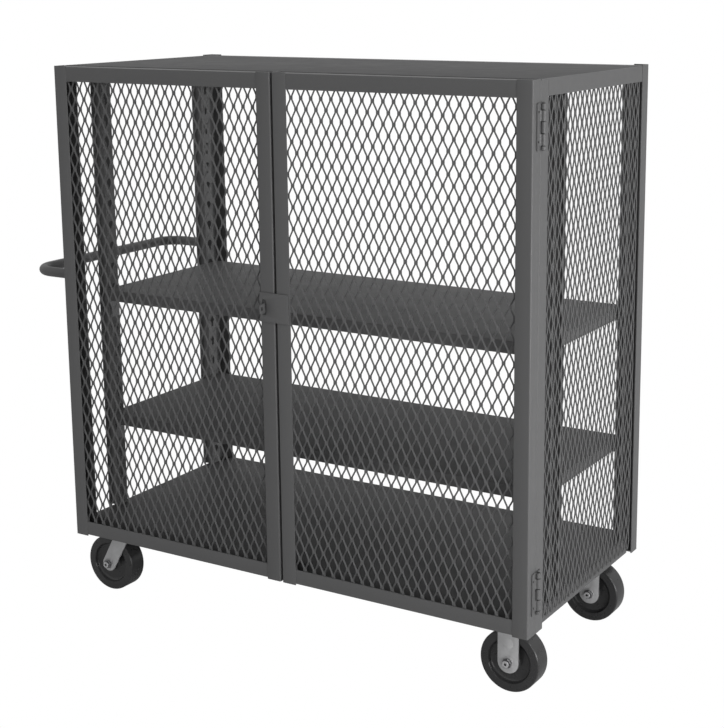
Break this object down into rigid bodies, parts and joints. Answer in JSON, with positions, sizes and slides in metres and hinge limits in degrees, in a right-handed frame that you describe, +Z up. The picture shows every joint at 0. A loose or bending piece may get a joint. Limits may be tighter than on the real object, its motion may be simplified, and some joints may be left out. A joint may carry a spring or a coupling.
{
  "type": "mesh shelf trolley",
  "caption": "Shelf trolley with hinged expanded-metal doors and end panel, padlock hasp, adjustable shelves on slotted standards, push handle, swivel and rigid casters.",
  "frame": {"origin": "centre of the footprint's bounding box, on the floor under the wheels", "axes": "+X along the front, from the push handle to the rigid casters; +Y from the doors to the back; +Z up"},
  "size_m": [1.5507, 0.6734, 1.4357],
  "materials": {
    "left_side_frame": "satin powder coat",
    "right_side_frame": "satin powder coat",
    "right_side_mesh": "satin powder coat",
    "back_frame": "satin powder coat",
    "roof_sheet": "satin powder coat",
    "deck_pan": "satin powder coat",
    "left_caster_channel": "satin powder coat",
    "right_caster_channel": "satin powder coat",
    "front_left_standard": "satin powder coat",
    "rear_left_standard": "satin powder coat",
    "front_right_standard": "satin powder coat",
    "rear_right_standard": "satin powder coat",
    "upper_clip_front_left": "zinc plated",
    "upper_clip_front_right": "zinc plated",
    "upper_clip_rear_left": "zinc plated",
    "upper_clip_rear_right": "zinc plated",
    "lower_clip_front_left": "zinc plated",
    "lower_clip_front_right": "zinc plated",
    "lower_clip_rear_left": "zinc plated",
    "lower_clip_rear_right": "zinc plated",
    "left_top_hinge_post_leaf": "satin powder coat",
    "left_bottom_hinge_post_leaf": "satin powder coat",
    "right_top_hinge_post_leaf": "satin powder coat",
    "right_bottom_hinge_post_leaf": "satin powder coat",
    "push_handle": "satin powder coat",
    "front_left_caster_plate": "zinc plated",
    "rear_left_caster_plate": "zinc plated",
    "front_right_fork": "zinc plated",
    "rear_right_fork": "zinc plated",
    "front_right_axle_bolt": "zinc plated",
    "rear_right_axle_bolt": "zinc plated",
    "left_door_frame": "satin powder coat",
    "left_door_mesh": "satin powder coat",
    "left_top_hinge_door_leaf": "satin powder coat",
    "left_bottom_hinge_door_leaf": "satin powder coat",
    "staple_tab": "satin powder coat",
    "right_door_frame": "satin powder coat",
    "right_door_mesh": "satin powder coat",
    "right_top_hinge_door_leaf": "satin powder coat",
    "right_bottom_hinge_door_leaf": "satin powder coat",
    "hasp_plate": "satin powder coat",
    "upper_shelf": "satin powder coat",
    "lower_shelf": "satin powder coat",
    "front_left_fork": "zinc plated",
    "front_left_axle_bolt": "zinc plated",
    "rear_left_fork": "zinc plated",
    "rear_left_axle_bolt": "zinc plated",
    "front_left_wheel": "moulded, matt",
    "front_left_bushing": "plain bronze",
    "front_right_wheel": "moulded, matt",
    "front_right_bushing": "plain bronze",
    "rear_left_wheel": "moulded, matt",
    "rear_left_bushing": "plain bronze",
    "rear_right_wheel": "moulded, matt",
    "rear_right_bushing": "plain bronze"
  },
  "bodies": {
    "cabinet": {"left_side_frame": "left_side_frame", "right_side_frame": "right_side_frame", "right_side_mesh": "right_side_mesh", "back_frame": "back_frame", "roof_sheet": "roof_sheet", "deck_pan": "deck_pan", "left_caster_channel": "left_caster_channel", "right_caster_channel": "right_caster_channel", "front_left_standard": "front_left_standard", "rear_left_standard": "rear_left_standard", "front_right_standard": "front_right_standard", "rear_right_standard": "rear_right_standard", "upper_clip_front_left": "upper_clip_front_left", "upper_clip_front_right": "upper_clip_front_right", "upper_clip_rear_left": "upper_clip_rear_left", "upper_clip_rear_right": "upper_clip_rear_right", "lower_clip_front_left": "lower_clip_front_left", "lower_clip_front_right": "lower_clip_front_right", "lower_clip_rear_left": "lower_clip_rear_left", "lower_clip_rear_right": "lower_clip_rear_right", "left_top_hinge_post_leaf": "left_top_hinge_post_leaf", "left_bottom_hinge_post_leaf": "left_bottom_hinge_post_leaf", "right_top_hinge_post_leaf": "right_top_hinge_post_leaf", "right_bottom_hinge_post_leaf": "right_bottom_hinge_post_leaf", "push_handle": "push_handle", "front_left_caster_plate": "front_left_caster_plate", "rear_left_caster_plate": "rear_left_caster_plate", "front_right_fork": "front_right_fork", "rear_right_fork": "rear_right_fork", "front_right_axle_bolt": "front_right_axle_bolt", "rear_right_axle_bolt": "rear_right_axle_bolt"},
    "left_door": {"left_door_frame": "left_door_frame", "left_door_mesh": "left_door_mesh", "left_top_hinge_door_leaf": "left_top_hinge_door_leaf", "left_bottom_hinge_door_leaf": "left_bottom_hinge_door_leaf", "staple_tab": "staple_tab"},
    "right_door": {"right_door_frame": "right_door_frame", "right_door_mesh": "right_door_mesh", "right_top_hinge_door_leaf": "right_top_hinge_door_leaf", "right_bottom_hinge_door_leaf": "right_bottom_hinge_door_leaf", "hasp_plate": "hasp_plate"},
    "shelf_upper": {"upper_shelf": "upper_shelf"},
    "shelf_lower": {"lower_shelf": "lower_shelf"},
    "swivel_front": {"front_left_fork": "front_left_fork", "front_left_axle_bolt": "front_left_axle_bolt"},
    "swivel_rear": {"rear_left_fork": "rear_left_fork", "rear_left_axle_bolt": "rear_left_axle_bolt"},
    "wheel_front_left": {"front_left_wheel": "front_left_wheel", "front_left_bushing": "front_left_bushing"},
    "wheel_front_right": {"front_right_wheel": "front_right_wheel", "front_right_bushing": "front_right_bushing"},
    "wheel_rear_left": {"rear_left_wheel": "rear_left_wheel", "rear_left_bushing": "rear_left_bushing"},
    "wheel_rear_right": {"rear_right_wheel": "rear_right_wheel", "rear_right_bushing": "rear_right_bushing"}
  },
  "joints": [
    {"name": "right_door_hinge", "type": "hinge", "parent": "cabinet", "child": "right_door", "pos_m": [0.76942, -0.2752, 0.8032], "axis": [0, 0, 1], "range_deg": [0, 190]},
    {"name": "left_door_hinge", "type": "hinge", "parent": "cabinet", "child": "left_door", "pos_m": [-0.60358, -0.2752, 0.8032], "axis": [0, 0, 1], "range_deg": [-95, 0]},
    {"name": "shelf_upper_lift", "type": "slide", "parent": "cabinet", "child": "shelf_upper", "axis": [0, 0, 1], "range_m": [0, 0.5]},
    {"name": "shelf_lower_lift", "type": "slide", "parent": "cabinet", "child": "shelf_lower", "axis": [0, 0, 1], "range_m": [0, 0.28]},
    {"name": "front_left_swivel", "type": "hinge", "parent": "cabinet", "child": "swivel_front", "pos_m": [-0.50708, -0.22085, 0.1732], "axis": [0, 0, 1], "continuous": true},
    {"name": "rear_left_swivel", "type": "hinge", "parent": "cabinet", "child": "swivel_rear", "pos_m": [-0.50708, 0.24415, 0.1732], "axis": [0, 0, 1], "continuous": true},
    {"name": "front_left_wheel_spin", "type": "hinge", "parent": "swivel_front", "child": "wheel_front_left", "pos_m": [-0.54208, -0.22085, 0.0762], "axis": [0, 1, 0], "continuous": true},
    {"name": "front_right_wheel_spin", "type": "hinge", "parent": "cabinet", "child": "wheel_front_right", "pos_m": [0.68293, -0.22085, 0.0762], "axis": [0, 1, 0], "continuous": true},
    {"name": "rear_left_wheel_spin", "type": "hinge", "parent": "swivel_rear", "child": "wheel_rear_left", "pos_m": [-0.54208, 0.24415, 0.0762], "axis": [0, 1, 0], "continuous": true},
    {"name": "rear_right_wheel_spin", "type": "hinge", "parent": "cabinet", "child": "wheel_rear_right", "pos_m": [0.68293, 0.24415, 0.0762], "axis": [0, 1, 0], "continuous": true}
  ],
  "couplings": [
    {"joint": "left_door_hinge", "follows": "right_door_hinge", "ratio": -0.5}
  ]
}
